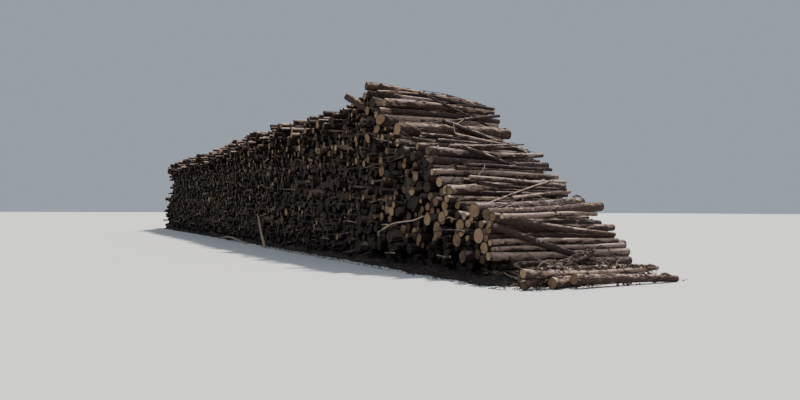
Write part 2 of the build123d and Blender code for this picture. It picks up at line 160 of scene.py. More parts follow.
class Pile:
    """Round log ends in the plane of the face, with a grid of cells to find neighbours."""

    def __init__(self, rounds, cell=0.42, widest=0.18):
        self.cell = cell
        self.widest = widest
        self.rounds = []
        self.cells = {}
        for x, z, r in rounds:
            self.keep(x, z, r)

    def keep(self, x, z, r):
        self.cells.setdefault((int(x // self.cell), int(z // self.cell)), []).append(len(self.rounds))
        self.rounds.append((x, z, r))

    def near(self, x, z, reach):
        """Numbers of the rounds that come nearer than reach to a place."""
        span = reach + self.widest
        columns = range(int((x - span) // self.cell), int((x + span) // self.cell) + 1)
        rows = range(int((z - span) // self.cell), int((z + span) // self.cell) + 1)
        found = [i for c in columns for q in rows for i in self.cells.get((c, q), ())]
        rounds = self.rounds
        return [i for i in found if hypot(rounds[i][0] - x, rounds[i][1] - z) < reach + rounds[i][2]]

    def places(self, notch, r):
        """Centres of a round of radius r that touches both rounds of a notch, or a round and the ground."""
        first, second = notch
        x0, z0, r0 = self.rounds[second]
        ra = r + r0 + clearance
        if first < 0:
            rise = r - z0
            if abs(rise) >= ra:
                return []
            run = sqrt(ra * ra - rise * rise)
            return [(x0 - run, r), (x0 + run, r)]
        x1, z1, r1 = self.rounds[first]
        rb = r + r1 + clearance
        d = hypot(x1 - x0, z1 - z0)
        if d >= ra + rb or d <= abs(ra - rb):
            return []
        a = (ra * ra - rb * rb + d * d) / (2 * d)
        h = sqrt(max(ra * ra - a * a, 0.0))
        ux, uz = (x1 - x0) / d, (z1 - z0) / d
        return [(x0 + a * ux - h * uz, z0 + a * uz + h * ux), (x0 + a * ux + h * uz, z0 + a * uz - h * ux)]

    def room(self, p, r):
        """Whether a round fits at a place, above the ground and clear of all others."""
        return p[1] >= r - 1e-6 and not self.near(p[0], p[1], r + 0.5 * clearance)

    def open_notches(self, k, queue, inside, key):
        """Queue the notches of round k that can take the least log, each under its key."""
        x, z, r = self.rounds[k]
        for i in self.near(x, z, r + 2 * least_covered) + [-1]:
            if i != k and (i >= 0 or z < r + 2 * least_covered):
                for p in self.places((i, k), least_covered):
                    if inside(*p, least_covered) and self.room(p, least_covered):
                        heappush(queue, (key(*p), i, k))
                        break

    def fill(self, draw, inside, key, thinner=(1.0, 0.75, 0.55, 0.0)):
        """Lay drawn logs, each into the open notch with the lowest key, thinner by some share if it must be."""
        start = len(self.rounds)
        queue = []
        for k in range(start):
            self.open_notches(k, queue, inside, key)
        r = draw()
        while queue:
            _, i, k = heappop(queue)
            for share in thinner:
                size = max(share * r, least_covered)
                places = [p for p in self.places((i, k), size) if inside(*p, size) and self.room(p, size)]
                if places:
                    break
            if not places:
                continue
            x, z = min(places, key=lambda p: key(*p))
            self.keep(x, z, size)
            self.open_notches(len(self.rounds) - 1, queue, inside, key)
            heappush(queue, (key(x, z), i, k))
            if size == r:
                r = draw()
        return np.array(self.rounds[start:])


class Heap:
    """The logs and sticks laid so far, as tapered rounds between two points, on which others come to rest."""

    def __init__(self):
        self.rows = np.empty((0, 8))

    def add(self, start, end, ra, rb):
        self.rows = np.concatenate([self.rows, np.column_stack([start, end, ra, rb])])

    def lie(self, plan, ra, rb, stations=30, before=0.45, beyond=0.55):
        """Both ends of a straight stick on the lowest line over what is below it.

        Plan holds the ends' x and y. At each station along the stick, a round below it at a distance d in
        plan lifts it to z + sqrt((r0 + r1)^2 - d^2). The stick is the chord of two such heights, one on
        each side of its middle, that is highest at the middle.
        """
        t = np.linspace(0.0, 1.0, stations)
        x = plan[0] + (plan[2] - plan[0]) * t
        y = plan[1] + (plan[3] - plan[1]) * t
        r = ra + (rb - ra) * t
        x0, y0, z0, x1, y1, z1, r0, r1 = self.rows.T
        along = (y[:, None] - y0) / (y1 - y0)
        off = x[:, None] - x0 - (x1 - x0) * along
        reach = r[:, None] + r0 + (r1 - r0) * along
        tops = z0 + (z1 - z0) * along + np.sqrt(np.maximum(reach**2 - off**2, 0.0))
        tops[(abs(off) >= reach) | (along < 0.0) | (along > 1.0)] = 0.0
        height = np.maximum(tops.max(axis=1), r)
        i, j = np.meshgrid(np.flatnonzero(t < before), np.flatnonzero(t > beyond))
        slope = (height[j] - height[i]) / (t[j] - t[i])
        best = np.argmax(height[i] + slope * (0.5 - t[i]))
        slope, i = slope.flat[best], i.flat[best]
        z = height[i] + slope * (np.array([0.0, 1.0]) - t[i])
        overhang = max(z[0] - height[0], z[1] - height[-1])
        return np.array([plan[0], plan[1], z[0]]), np.array([plan[2], plan[3], z[1]]), overhang


# Log ends that show clean wood: distance along the stack from the foot, height, and bareness of the bark
clean_ends = [
    (-4.95, 3.79, 0.5), (-5.65, 3.45, 0.4), (-2.37, 1.24, 0.5), (-1.80, 1.06, 0.4), (-1.50, 1.50, 0.5),
    (-0.85, 1.30, 0.6), (-1.49, 0.42, 0.3), (-0.13, 0.70, 0.9), (-0.23, 0.96, 0.4), (-2.32, 0.78, 0.5),
    (-3.83, 0.91, 0.4), (-3.44, 1.04, 0.4), (-0.92, 1.04, 0.5), (0.05, 0.50, 0.98),
]


# Meshes from arrays

def added(name, data):
    """A new object in the scene."""
    made = bpy.data.objects.new(name, data)
    bpy.context.scene.collection.objects.link(made)
    return made


def mesh_piece(name, points, faces, mats, mat_index, uv, tone, upward, smooth):
    """A piece from arrays: points (n, 3), lists of index arrays of quads or triangles, a UV for each corner."""
    mesh = bpy.data.meshes.new(name)
    sizes = np.concatenate([np.full(len(f), f.shape[1]) for f in faces])
    corners = np.concatenate([f.reshape(-1) for f in faces])
    mesh.vertices.add(len(points))
    mesh.vertices.foreach_set("co", points.astype(np.float32).reshape(-1))
    mesh.loops.add(len(corners))
    mesh.loops.foreach_set("vertex_index", corners.astype(np.int32))
    mesh.polygons.add(len(sizes))
    starts = np.concatenate([[0], np.cumsum(sizes)[:-1]])
    mesh.polygons.foreach_set("loop_start", starts.astype(np.int32))
    mesh.polygons.foreach_set("material_index", np.concatenate(mat_index).astype(np.int32))
    mesh.polygons.foreach_set("use_smooth", np.concatenate(smooth).astype(bool))
    layer = mesh.uv_layers.new(name="grain")
    layer.data.foreach_set("uv", np.concatenate([u.reshape(-1, 2) for u in uv]).astype(np.float32).reshape(-1))
    attribute = mesh.attributes.new("log_tone", "FLOAT_VECTOR", "POINT")
    attribute.data.foreach_set("vector", tone.astype(np.float32).reshape(-1))
    attribute = mesh.attributes.new("upward", "FLOAT", "POINT")
    attribute.data.foreach_set("value", upward.astype(np.float32).reshape(-1))
    mesh.update()
    mesh.validate()
    for mat in mats:
        mesh.materials.append(mat)
    piece = added(name, mesh)
    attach(piece, "root")
    return piece


def step(low, high, x):
    """A smooth rise from 0 at low to 1 at high."""
    t = np.clip((x - low) / (high - low), 0.0, 1.0)
    return t * t * (3 - 2 * t)


def unit(v):
    """Vectors brought to length one."""
    return v / np.linalg.norm(v, axis=-1, keepdims=True)


def clean_level_with_painted_shade(x, z):
    """The draw above which a log end is clean: bell curves of painted shade on the face, a product of sines,
    and a step.
    """
    level = 0.0
    for most, along, wide, up, high in painted_shade_places:
        level = level + most * np.exp(-(((x - along) / wide) ** 2) - ((z - up) / high) ** 2)
    level = level + 0.14 * np.sin(1.7 * x + 2.3 * z) * np.sin(0.9 * x - 3.1 * z + 1.0)
    return 0.46 + level - 0.15 * step(-5.0, -2.5, x)


def log_tones(start, plain, pale, clean, own_tone, dullness):
    """Bareness of the bark, warmth, and cleanness of the cut end, for each log, drawn at random.

    Bareness falls to a quarter in a bell curve at the height of the painted shade band. On the stack's own logs
    it also falls towards the ground by a smooth step, painted shade at the foot, the ends are clean above a
    level set by the places of painted shade and grow duller towards the ground, also painted shade, and those
    in clean_ends are pale. Plain pieces have none of these, and own_tone overrules all.
    """
    tone = rng.uniform(0, 1, (len(start), 3))
    tone[:, 0] = rng.uniform(*pale, len(start))
    # Painted shade: bareness falls in a bell curve at the height of the painted shade band, so those logs show
    # more dark bark
    tone[:, 0] *= 1.0 - 0.75 * np.exp(-(((start[:, 2] - painted_shade_band) / painted_shade_band_width) ** 2))
    if not plain:
        # Painted shade on the front face: the ends are clean only above a level that the painted shade places
        # raise
        level = clean_level_with_painted_shade(start[:, 0] - near_foot, start[:, 2])
        tone[:, 2] = 0.2 * tone[:, 2] + 0.8 * step(level, level + 0.4, tone[:, 2])
        # Painted shade at the foot: towards the ground the cut ends are drawn duller and the bark less bare, so
        # both darker
        tone[:, 2] = (tone[:, 2] * clean * (0.3 + 0.7 * step(0.25, 0.65, start[:, 2]))) ** dullness
        tone[:, 0] *= 0.65 + 0.35 * step(0.3, 1.3, start[:, 2])
        for x, z, bare in clean_ends:
            off = np.hypot(start[:, 0] - near_foot - x, start[:, 2] - z)
            tone = np.where(((off == off.min()) & (off < 0.22))[:, None], (bare, 0.7, 1.0), tone)
    if own_tone:
        tone[:] = own_tone
    return tone


def log_faces(sides, rings, caps):
    """Corner numbers and UVs of one log in groups: the quads of its side, those of its ends, and their fans.

    The corners of the rings come first, then for each end an inner ring, where there are two caps, and a
    middle. On the side U runs round the log and V along it, both from 0 to 1. On the ends the UV is the place
    on a disc of radius one.
    """
    index = np.arange(rings * sides).reshape(rings, sides)
    a, b = index[:-1], index[1:]
    quads = np.stack([a, np.roll(a, -1, 1), np.roll(b, -1, 1), b], -1).reshape(-1, 4)
    j, t = np.arange(sides), np.linspace(0.0, 1.0, rings)
    u = np.stack([j, j + 1, j + 1, j], -1)[None] / sides
    v = np.stack([t[:-1], t[:-1], t[1:], t[1:]], -1)[:, None, :]
    uv = np.stack(np.broadcast_arrays(u, v), -1).reshape(-1, 4, 2)
    th = j * 2 * pi / sides
    disc = np.stack([np.cos(th), np.sin(th)], -1)
    rims, fans = [], []
    base = rings * sides
    for rim, order in ((index[0], -1), (index[-1], 1)):
        rim_uv = disc
        if caps == 2:
            inner, inner_uv = base + j, disc * inner_share
            base += sides
            q = np.stack([rim, np.roll(rim, -1), np.roll(inner, -1), inner], -1)
            quv = np.stack([disc, np.roll(disc, -1, 0), np.roll(inner_uv, -1, 0), inner_uv], 1)
            rims.append((q[:, ::order], quv[:, ::order]))
            rim, rim_uv = inner, inner_uv
        fan = np.stack([rim, np.roll(rim, -1), np.full(sides, base)], -1)
        fan_uv = np.stack([rim_uv, np.roll(rim_uv, -1, 0), np.zeros_like(rim_uv)], 1)
        fans.append((fan[:, ::order], fan_uv[:, ::order]))
        base += 1
    ends = [[np.concatenate(part) for part in zip(*group)] for group in (rims, fans) if group]
    return [[quads[:, ::-1], uv[:, ::-1]], *ends]


def log_piece(name, start, end, ra, rb, sides, rings, bend=0.012, rough=0.03, knots=6, tilt=0.02, caps=2,
              flat=1.0, mats=None, pale=(0.0, 1.0), clean=1.0, own_tone=None, dullness=1.0, slot="bark_logs"):
    """Many logs as one mesh.

    Each log is a grid of rings by sides. A ring's centre follows the straight line between the two ends,
    plus a bow of half a sine and an S of a whole sine across it. Its radius runs straight from ra to rb,
    and is multiplied by an oval, by long waves of bark and by round swellings, the knots, each a bell curve
    in length and angle. Flat squeezes the round in one direction. The ends are flat fans, or with two caps a
    ring of quads round a fan, turned out of square by a small random slope, with a broken bark edge.
    """
    n = len(start)
    length = np.linalg.norm(end - start, axis=1)
    u = unit(end - start)
    e1 = unit(np.cross(u, np.array([0.0, 0.0, 1.0])))
    e2 = np.cross(e1, u)
    t = np.linspace(0.0, 1.0, rings)[None, :, None]
    th = (np.arange(sides) * 2 * pi / sides)[None, None, :]

    def draw(low, high):
        return rng.uniform(low, high, (n, 1, 1))

    def by(amount, direction):
        return amount[..., None] * direction[:, None, None, :]

    scale = np.minimum(1.0, (ra + rb) / 2 / full_radius)[:, None, None]
    amp = bend * length[:, None, None] / full_length
    bow, sway = np.sin(pi * t), np.sin(2 * pi * t)
    one = (n, 1, 1)
    off1, off2 = (amp * (rng.normal(0, 1, one) * bow + rng.normal(0, 0.35, one) * sway) for _ in range(2))
    r = ra[:, None, None] * (1 - t) + rb[:, None, None] * t
    r = r * (1 + oval * np.cos(2 * th + draw(0, 2 * pi)) * draw(0, 1))
    wave = 0.0
    for k in (1, 2, 3, 5):
        wave = wave + np.sin(k * th + draw(0, 6.3) + draw(2, 9) * t * k) / (1.2 * k)
    r = r * (1 + rough * 0.5 * wave)
    r = r * (1 + rough * 0.8 * rng.normal(0, 0.6, (n, rings, sides)) * (sides > 12))
    for _ in range(knots):
        kt, kth = draw(0.03, 0.97), draw(0, 2 * pi)
        turn = np.angle(np.exp(1j * (th - kth)))
        along = (t - kt) * length[:, None, None]
        r = r * (1 + draw(0.0, knot_height) * np.exp(-((along / knot_length) ** 2) - (turn / knot_width) ** 2))
    centre = start[:, None, None, :] + by(t, end - start) + by(off1, e1) + by(off2, e2)
    lean = rng.normal(0, tilt, (2, n, 2, 1))
    roll = rng.uniform(0, 2 * pi, (n, 1))
    e1, e2 = e1 * np.cos(roll) + e2 * np.sin(roll), e2 * np.cos(roll) - e1 * np.sin(roll)
    cosr, sinr = np.cos(th) * r, np.sin(th) * r * flat
    along = np.zeros((n, rings, sides))
    for ring, k in ((0, 0), (rings - 1, 1)):
        along[:, ring, :] = lean[0][:, k] * cosr[:, ring, :] + lean[1][:, k] * sinr[:, ring, :]
        along[:, ring, :] += rng.uniform(-edge_break, edge_break, (n, sides)) * scale[:, 0]
    body = centre + by(cosr, e1) + by(sinr, e2) + by(along, u)
    points = [body.reshape(n, -1, 3)]
    for ring in (0, rings - 1):
        middle = body[:, ring].mean(axis=1)[:, None, :]
        if caps == 2:
            inner = middle + (body[:, ring] - middle) * inner_share
            points.append(inner + u[:, None, :] * (rng.uniform(-cap_break, cap_break, (n, sides, 1)) * scale))
        points.append(middle)
    points = np.clip(np.concatenate(points, axis=1), box_low, box_high)
    count = points.shape[1]
    upward = np.zeros((n, count))
    facing = np.cos(th) * e1[:, None, None, 2] + np.sin(th) * e2[:, None, None, 2]
    upward[:, :rings * sides] = np.broadcast_to(facing, (n, rings, sides)).reshape(n, -1)

    faces, uv, mat_index, smooth = [], [], [], []
    for k, (group, group_uv) in enumerate(log_faces(sides, rings, caps)):
        size = np.ones((n, 1, 1, 2))
        if k == 0:
            size[:, 0, 0, 1] = length
        faces.append((group[None] + (np.arange(n) * count)[:, None, None]).reshape(-1, group.shape[1]))
        uv.append(group_uv[None] * size)
        mat_index.append(np.full(n * len(group), k > 0))
        smooth.append(np.full(n * len(group), k == 0))
    tone = np.repeat(log_tones(start, mats is not None, pale, clean, own_tone, dullness), count, axis=0)
    return mesh_piece(name, points.reshape(-1, 3), faces, mats or [log_bark, cut_wood], mat_index, uv,
                      tone, upward, smooth)


# Materials

class Nodes:
    """A material's node tree, with short calls for the nodes used here. Values are sockets or constants."""

    def __init__(self, name):
        self.mat = bpy.data.materials.new(name)
        self.mat.use_nodes = True
        self.tree = self.mat.node_tree
        self.tree.nodes.clear()
        self.shader = self.tree.nodes.new("ShaderNodeBsdfPrincipled")
        out = self.tree.nodes.new("ShaderNodeOutputMaterial")
        self.tree.links.new(self.shader.outputs[0], out.inputs[0])

    def node(self, kind, inputs=(), **settings):
        made = self.tree.nodes.new("ShaderNode" + kind)
        for key, value in settings.items():
            setattr(made, key, value)
        for key, value in dict(inputs).items():
            self.put(made.inputs[key], value)
        return made

    def put(self, socket, value):
        """Link another node's output to a socket, or set its number, vector or colour."""
        if isinstance(value, bpy.types.NodeSocket):
            self.tree.links.new(value, socket)
        else:
            socket.default_value = (*value, 1.0) if socket.type == "RGBA" else value

    def math(self, operation, a, b=0.0):
        return self.node("Math", {0: a, 1: b}, operation=operation).outputs[0]

    def total(self, *terms):
        """The sum of some values, each times its weight."""
        parts = [value if weight == 1.0 else self.math("MULTIPLY", value, weight) for value, weight in terms]
        result = parts[0]
        for part in parts[1:]:
            result = self.math("ADD", result, part)
        return result

    def between(self, value, low, high):
        """A straight rise from 0 at low to 1 at high, level outside."""
        return self.node("MapRange", {0: value, 1: low, 2: high}).outputs[0]

    def noise(self, vector, scale, detail=3.0, roughness=0.55):
        inputs = {"Vector": vector, "Scale": scale, "Detail": detail, "Roughness": roughness}
        return self.node("TexNoise", inputs).outputs[0]

    def ramp(self, value, stops):
        """A colour that runs through the stops, each a place from 0 to 1 and a colour."""
        made = self.node("ValToRGB", {0: value})
        ramp = made.color_ramp
        while len(ramp.elements) > 1:
            ramp.elements.remove(ramp.elements[0])
        for k, (place, colour) in enumerate(stops):
            stop = ramp.elements[0] if k == 0 else ramp.elements.new(place)
            stop.position = place
            stop.color = (*colour, 1.0)
        return made.outputs[0]

    def mix(self, share, a, b, blend="MIX"):
        """Colour a turned towards b by a share; the Mix node has its colours in sockets 6 and 7."""
        return self.node("Mix", {0: share, 6: a, 7: b}, data_type="RGBA", blend_type=blend).outputs[2]

    def bump(self, height, distance):
        made = self.node("Bump", {"Height": height, "Distance": distance})
        self.put(self.shader.inputs["Normal"], made.outputs[0])

    def finish(self, colour, rough):
        for key, value in (("Base Color", colour), ("Roughness", rough), ("Specular IOR Level", 0.25)):
            self.put(self.shader.inputs[key], value)
        return self.mat


def tone_of(n):
    """The three random numbers of the log that a surface belongs to, and object coordinates shifted by them."""
    tone = n.node("Attribute", attribute_name="log_tone").outputs["Vector"]
    parts = n.node("SeparateXYZ", {0: tone}).outputs
    place = n.node("TexCoord").outputs["Object"]
    moved = n.node("VectorMath", {0: tone, 1: (37.0, 53.0, 71.0)}, operation="MULTIPLY").outputs[0]
    place = n.node("VectorMath", {0: place, 1: moved}, operation="ADD").outputs[0]
    return parts, place


def along_log(n, place, share):
    """Coordinates whose pattern is drawn out along the log: their Y is taken times a share."""
    return n.node("Mapping", {"Vector": place, "Scale": (1.0, share, 1.0)}).outputs[0]


def make_bark():
    """Dry softwood bark: dark red-brown plates that flake off to pale wood, streaked along the log, with
    painted shade on the undersides and a painted highlight on the tops.
    """
    n = Nodes("log_bark")
    tone, place = tone_of(n)
    streak = n.noise(along_log(n, place, 0.16), 34.0, 5.0, 0.62)
    fine = n.noise(along_log(n, place, 0.30), 90.0, 3.0, 0.6)
    patch = n.noise(along_log(n, place, 0.38), 8.0, 6.0, 0.68)
    chips = n.noise(along_log(n, place, 0.38), 21.0, 5.0, 0.70)
    plates = n.node("TexVoronoi", {"Vector": along_log(n, place, 0.35), "Scale": 42.0}).outputs[0]
    bark = n.ramp(n.total((streak, 0.7), (plates, 0.5)), [
        (0.25, (0.030, 0.022, 0.021)), (0.50, (0.064, 0.041, 0.036)), (0.72, (0.120, 0.072, 0.058)),
        (0.95, (0.220, 0.145, 0.115))])
    wood = n.ramp(streak, [
        (0.20, (0.25, 0.162, 0.120)), (0.50, (0.45, 0.330, 0.251)), (0.85, (0.65, 0.525, 0.422))])
    upward = n.node("Attribute", attribute_name="upward").outputs["Fac"]
    barer, streaked = n.math("SUBTRACT", tone[0], 0.5), n.math("SUBTRACT", streak, 0.5)
    # Bare pale wood where the bark has flaked off: at random, by the log's bareness (which log_tones lowers
    # where it paints shade), and by a painted highlight, the upward term, which makes the tops of logs barer
    # and paler
    bare = n.between(n.total((patch, 1.0), (barer, 0.34), (streaked, 0.25), (upward, 0.13)), 0.535, 0.580)
    flecks, crumbs = n.between(chips, 0.59, 0.64), n.between(chips, 0.44, 0.37)
    bark = n.mix(n.math("MULTIPLY", flecks, 0.65), bark, (0.36, 0.255, 0.200))
    wood = n.mix(n.math("MULTIPLY", crumbs, 0.80), wood, (0.075, 0.045, 0.036))
    colour = n.mix(bare, bark, wood)
    hue = n.ramp(tone[1], [(0.0, (0.70, 0.70, 0.76)), (0.5, (0.92, 0.96, 1.02)), (1.0, (1.12, 1.0, 0.92))])
    colour = n.mix(1.0, colour, hue, "MULTIPLY")
    colour = n.mix(n.math("MULTIPLY", n.noise(place, 2.2, 3.0), 0.20), colour, (0.11, 0.10, 0.10))
    # Painted shade: the bark is multiplied darker towards the underside of each log, by its upward attribute
    painted_underside_shade = n.ramp(n.math("ADD", n.math("MULTIPLY", upward, 0.5), 0.5), [  # darker towards the underside
        (0.30, (0.42, 0.40, 0.41)), (0.62, (0.54, 0.50, 0.49)), (0.90, (1.0, 1.0, 1.0))])
    colour = n.mix(1.0, colour, painted_underside_shade, "MULTIPLY")
    ridges = n.math("MULTIPLY", plates, n.math("SUBTRACT", 1.0, bare))
    n.bump(n.total((ridges, 1.0), (fine, 0.35), (bare, -0.7)), 0.016)
    return n.finish(colour, 0.86)


def make_cut_wood():
    """Sawn log ends: growth rings about the pith, cracks out from it, stains, grey age, painted shade and a rim
    of bark.
    """
    n = Nodes("cut_wood")
    tone, place = tone_of(n)
    uv = n.node("UVMap", uv_map="grain").outputs[0]
    away = n.node("VectorMath", {0: uv}, operation="LENGTH").outputs["Value"]
    far = n.total((away, 1.0), (n.noise(place, 14.0, 2.0), 0.10))
    rings = n.math("SINE", n.math("MULTIPLY", far, 58.0))
    stain = n.noise(place, 9.0, 4.0, 0.6)
    parts = n.node("SeparateXYZ", {0: uv}).outputs
    angle = n.math("ARCTAN2", parts[1], parts[0])
    turn, out = n.math("MULTIPLY", angle, 2.2), n.math("MULTIPLY", away, 0.5)
    ray = n.node("CombineXYZ", {0: turn, 1: out, 2: tone[2]}).outputs[0]
    crack = n.between(n.noise(ray, 3.0, 2.0), 0.66, 0.72)
    base = n.ramp(n.total((stain, 0.7), (tone[0], 0.45)), [
        (0.30, (0.16, 0.095, 0.055)), (0.50, (0.36, 0.225, 0.125)), (0.75, (0.56, 0.385, 0.225)),
        (0.95, (0.68, 0.52, 0.34))])
    colour = n.mix(n.math("MULTIPLY", n.math("ADD", rings, 1.0), 0.10), base, (0.17, 0.09, 0.05))
    colour = n.mix(n.math("MULTIPLY", crack, 0.7), colour, (0.05, 0.03, 0.02))
    colour = n.mix(n.between(far, 0.93, 0.975), colour, (0.055, 0.036, 0.030))
    # The cleanness tone dulls the end: dirt and age at random, and the painted shade that log_tones sets in
    # patches, in a band and at the foot
    dull = n.ramp(tone[2], [
        (0.0, (0.055, 0.055, 0.066)), (0.40, (0.105, 0.106, 0.120)), (0.75, (0.225, 0.228, 0.245)),
        (1.0, (0.52, 0.515, 0.515))])
    colour = n.mix(1.0, colour, dull, "MULTIPLY")
    n.bump(n.total((rings, 0.15), (crack, -1.0)), 0.004)
    return n.finish(colour, 0.82)


def make_floor_finish():
    """A plain pale floor with faint clouds."""
    n = Nodes("pale_floor")
    place = n.node("TexCoord").outputs["Object"]
    colour = n.mix(n.noise(place, 0.7, 4.0), (0.60, 0.59, 0.57), (0.66, 0.65, 0.63))
    return n.finish(colour, 0.9)


def make_dry_wood():
    """Barkless sticks and splinters: grey to tan wood with a fine grain along them."""
    n = Nodes("dry_wood")
    tone, place = tone_of(n)
    grain = n.noise(place, 60.0, 4.0, 0.6)
    colour = n.ramp(n.total((grain, 0.5), (tone[0], 0.5)), [
        (0.25, (0.060, 0.042, 0.034)), (0.50, (0.17, 0.120, 0.090)), (0.80, (0.42, 0.31, 0.22))])
    n.bump(grain, 0.003)
    return n.finish(colour, 0.8)


def make_litter():
    """Flakes of bark and wood: dark red-brown, a few of them pale inside."""
    n = Nodes("litter")
    tone, place = tone_of(n)
    colour = n.ramp(tone[0], [
        (0.0, (0.030, 0.019, 0.016)), (0.50, (0.085, 0.050, 0.038)), (0.78, (0.20, 0.130, 0.095)),
        (0.90, (0.50, 0.38, 0.29)), (1.0, (0.72, 0.60, 0.48))])
    colour = n.mix(n.math("MULTIPLY", n.noise(place, 40.0, 3.0), 0.5), colour, (0.06, 0.045, 0.04))
    n.bump(n.noise(place, 90.0, 3.0), 0.003)
    return n.finish(colour, 0.88)


def make_soil_and_painted_shade():
    """Trodden soil with crumbs of bark, and painted shade: nearly black so that it stays dark like the shadow
    at the foot of the face even where lit, with small red-brown and pale specks.
    """
    n = Nodes("soil_and_painted_shade")
    place = n.node("TexCoord").outputs["Object"]
    crumbs = n.node("TexVoronoi", {"Vector": place, "Scale": 46.0}).outputs
    specks = n.node("SeparateXYZ", {0: crumbs[1]}).outputs[0]
    colour = n.ramp(specks, [
        (0.0, (0.018, 0.014, 0.012)), (0.55, (0.045, 0.030, 0.024)), (0.82, (0.090, 0.056, 0.042)),
        (0.97, (0.26, 0.19, 0.14))])
    colour = n.mix(n.noise(place, 3.0, 4.0), colour, (0.022, 0.018, 0.016))
    n.bump(n.math("ADD", crumbs[0], n.noise(place, 30.0, 4.0)), 0.02)
    return n.finish(colour, 0.95)


log_bark = make_bark()
cut_wood = make_cut_wood()
dry_wood = make_dry_wood()
litter = make_litter()
soil_and_painted_shade = make_soil_and_painted_shade()

# The separate logs, read from the solids
single = [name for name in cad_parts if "_logs_" in name and name != "covered_logs_core"]
groups = {name: island_logs(name) for name in single}
every = np.concatenate(list(groups.values()))
rng = np.random.default_rng(seed)


def fit(x):
    """Distance along the stack from the foot of its near end, for a place in the part."""
    return x - near_foot


def showing(logs):
    """Whether each log's side shows: some ray from it, upwards or outwards, meets no log and no core."""
    hides_from, hides_to, into_core = 0.03, 4.0, 0.4  # distances along the ray
    seen = np.zeros(len(logs), dtype=bool)
    for angle in np.radians(np.arange(-10, 191, 15)):
        ux, uz = np.cos(angle), np.sin(angle)
        dx = every[None, :, 0] - logs[:, None, 0]
        dz = every[None, :, 1] - logs[:, None, 1]
        ahead = dx * ux + dz * uz
        off = np.abs(dx * uz - dz * ux)
        hit = (ahead > hides_from) & (ahead < hides_to) & (off < every[None, :, 2] * 0.9)
        x, z = logs[:, 0] + ux * into_core, logs[:, 1] + uz * into_core
        inside = (core_low[0] < x) & (x < core_high[0]) & (z < core_top)
        seen |= ~hit.any(axis=1) & ~inside
    return seen


def crest_curve(x):
    """Height of the stack's outline at its far end: a quarter of an ellipse on a low upright face."""
    far = np.clip((core_low[0] + far_run - x) / far_run, 0.0, 1.0)
    return far_face + (core_top - far_face) * np.sqrt(1 - far * far)


def sunk(x, z):
    """How far the back ends of the peak's logs sink: a smooth step in height times one along the stack."""
    return peak_droop * step(3.6, 4.8, z) * step(-8.5, -6.5, fit(x))


def settled(x):
    """Share by which front ends lie lower along the crest: two smooth steps and a bell curve by the peak."""
    crest = crest_sag * step(-6.3, -7.6, x) * step(-39.0, -33.0, x)
    return crest + peak_sag * np.exp(-(((x + 9.4) / 1.7) ** 2))


def place_logs(logs, taper, loose):
    """Ends and radii of logs along Y.

    One end of each is thinner, by a random share, and lies lower by half of that. Both ends are moved by a
    bell-shaped random length, loose. Smooth steps shift them further: at the near end the back ends of the
    upper logs turn away from the foot, those of the lowest turn the other way, and those of the peak sink.
    The front ends along the crest lie lower. Some at the crest and the far end stand out by the square of a
    random share, and those at the far end stand back, most of all high up.
    """
    n = len(logs)
    x, z, r = logs[:, 0], logs[:, 1], logs[:, 2]
    thin_front = rng.uniform(0, 1, n) < 0.45
    share = rng.uniform(0.0, taper, n)
    ra, rb = r * np.where(thin_front, 1.0 - share, 1.0), r * np.where(thin_front, 1.0, 1.0 - share)
    y0 = logs[:, 3] + np.clip(rng.normal(0.3 * loose, loose, n), -1.6 * loose, 3.0 * loose)
    y1 = logs[:, 4] - np.clip(rng.normal(0.3 * loose, loose, n), -1.0 * loose, 3.0 * loose)
    rim = np.maximum(step(3.5, 4.2, z), step(0.0, 0.6, z - 0.8 * crest_curve(x)) * (fit(x) < -34.0))
    rim = np.maximum(rim, 0.75 * step(-37.5, -40.5, fit(x)))
    y0 -= stand_out * rim * rng.uniform(0.0, 1.0, n) ** 2 * (logs[:, 3] > front_face - 0.1) * (fit(x) < -7.4)
    y0 += far_recess * step(-36.5, -40.0, fit(x)) * (0.55 + 0.45 * step(1.0, 3.6, z))
    away = skew * step(0.45, 1.1, z) * step(-5.0, -1.2, fit(x))
    away += low_turn * (1.0 - step(0.5, 1.2, z)) * step(-2.2, -0.4, fit(x))
    start = np.column_stack([x, y0, (z - 0.5 * (r - ra)) * (1.0 - settled(fit(x)))])
    end = np.column_stack([x + away, y1, z - 0.5 * (r - rb) - sunk(x, z)])
    return start, end, ra * slack, rb * slack


def dress(name, logs, sides, rings, taper=0.3, loose=0.05, **looks):
    """One joined mesh for logs that lie along Y."""
    ends = place_logs(logs, taper, loose)
    return log_piece(name, *ends, sides, rings, **looks), ends


heap = Heap()
for name, logs in groups.items():
    near = name.startswith("near")
    seen = showing(logs)
    made = []
    if seen.any():
        detail = dict(sides=12, rings=14, bend=0.018, pale=(0.0, 0.85))
        if near:
            detail = dict(sides=22, rings=44, bend=0.02, dullness=1.3)
        made.append(dress(name + "_outer", logs[seen], knots=6, **detail))
    if (~seen).any():
        made.append(dress(name + "_inner", logs[~seen], 14 if near else 9, 4, knots=0))
    for piece, ends in made:
        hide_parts(name)
        heap.add(*ends)

